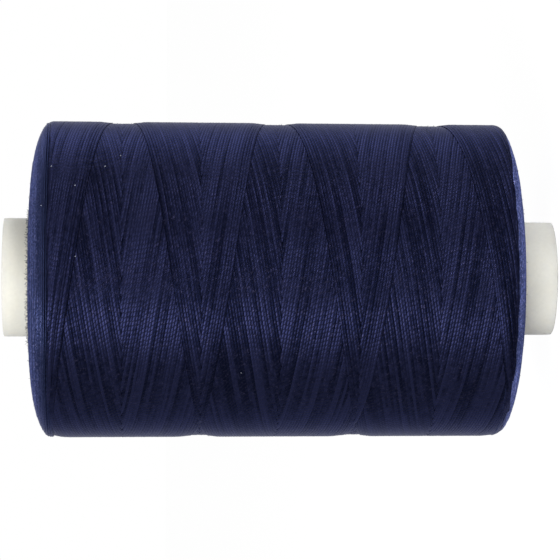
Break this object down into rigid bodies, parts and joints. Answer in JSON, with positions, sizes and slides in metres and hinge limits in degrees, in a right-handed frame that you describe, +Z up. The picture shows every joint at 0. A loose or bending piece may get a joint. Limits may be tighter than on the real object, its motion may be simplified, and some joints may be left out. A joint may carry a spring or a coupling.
{
  "type": "spool of thread",
  "caption": "Cylindrical cross-wound package of sewing thread on a plain moulded tube with a through bore for a spool pin.",
  "frame": {"origin": "centre of the tube's foot, on the axis of its bore", "axes": "+Z up the tube's axis, out of its upper end; X and Y are any two square directions round the tube"},
  "size_m": [0.0356, 0.0356, 0.062],
  "materials": {
    "tube": "off-white moulded polypropylene, satin",
    "thread": "dark navy spun polyester sewing thread, two plies"
  },
  "bodies": {
    "root": {"tube": "tube", "thread_body": "thread", "outer_turns": "thread"}
  },
  "joints": []
}
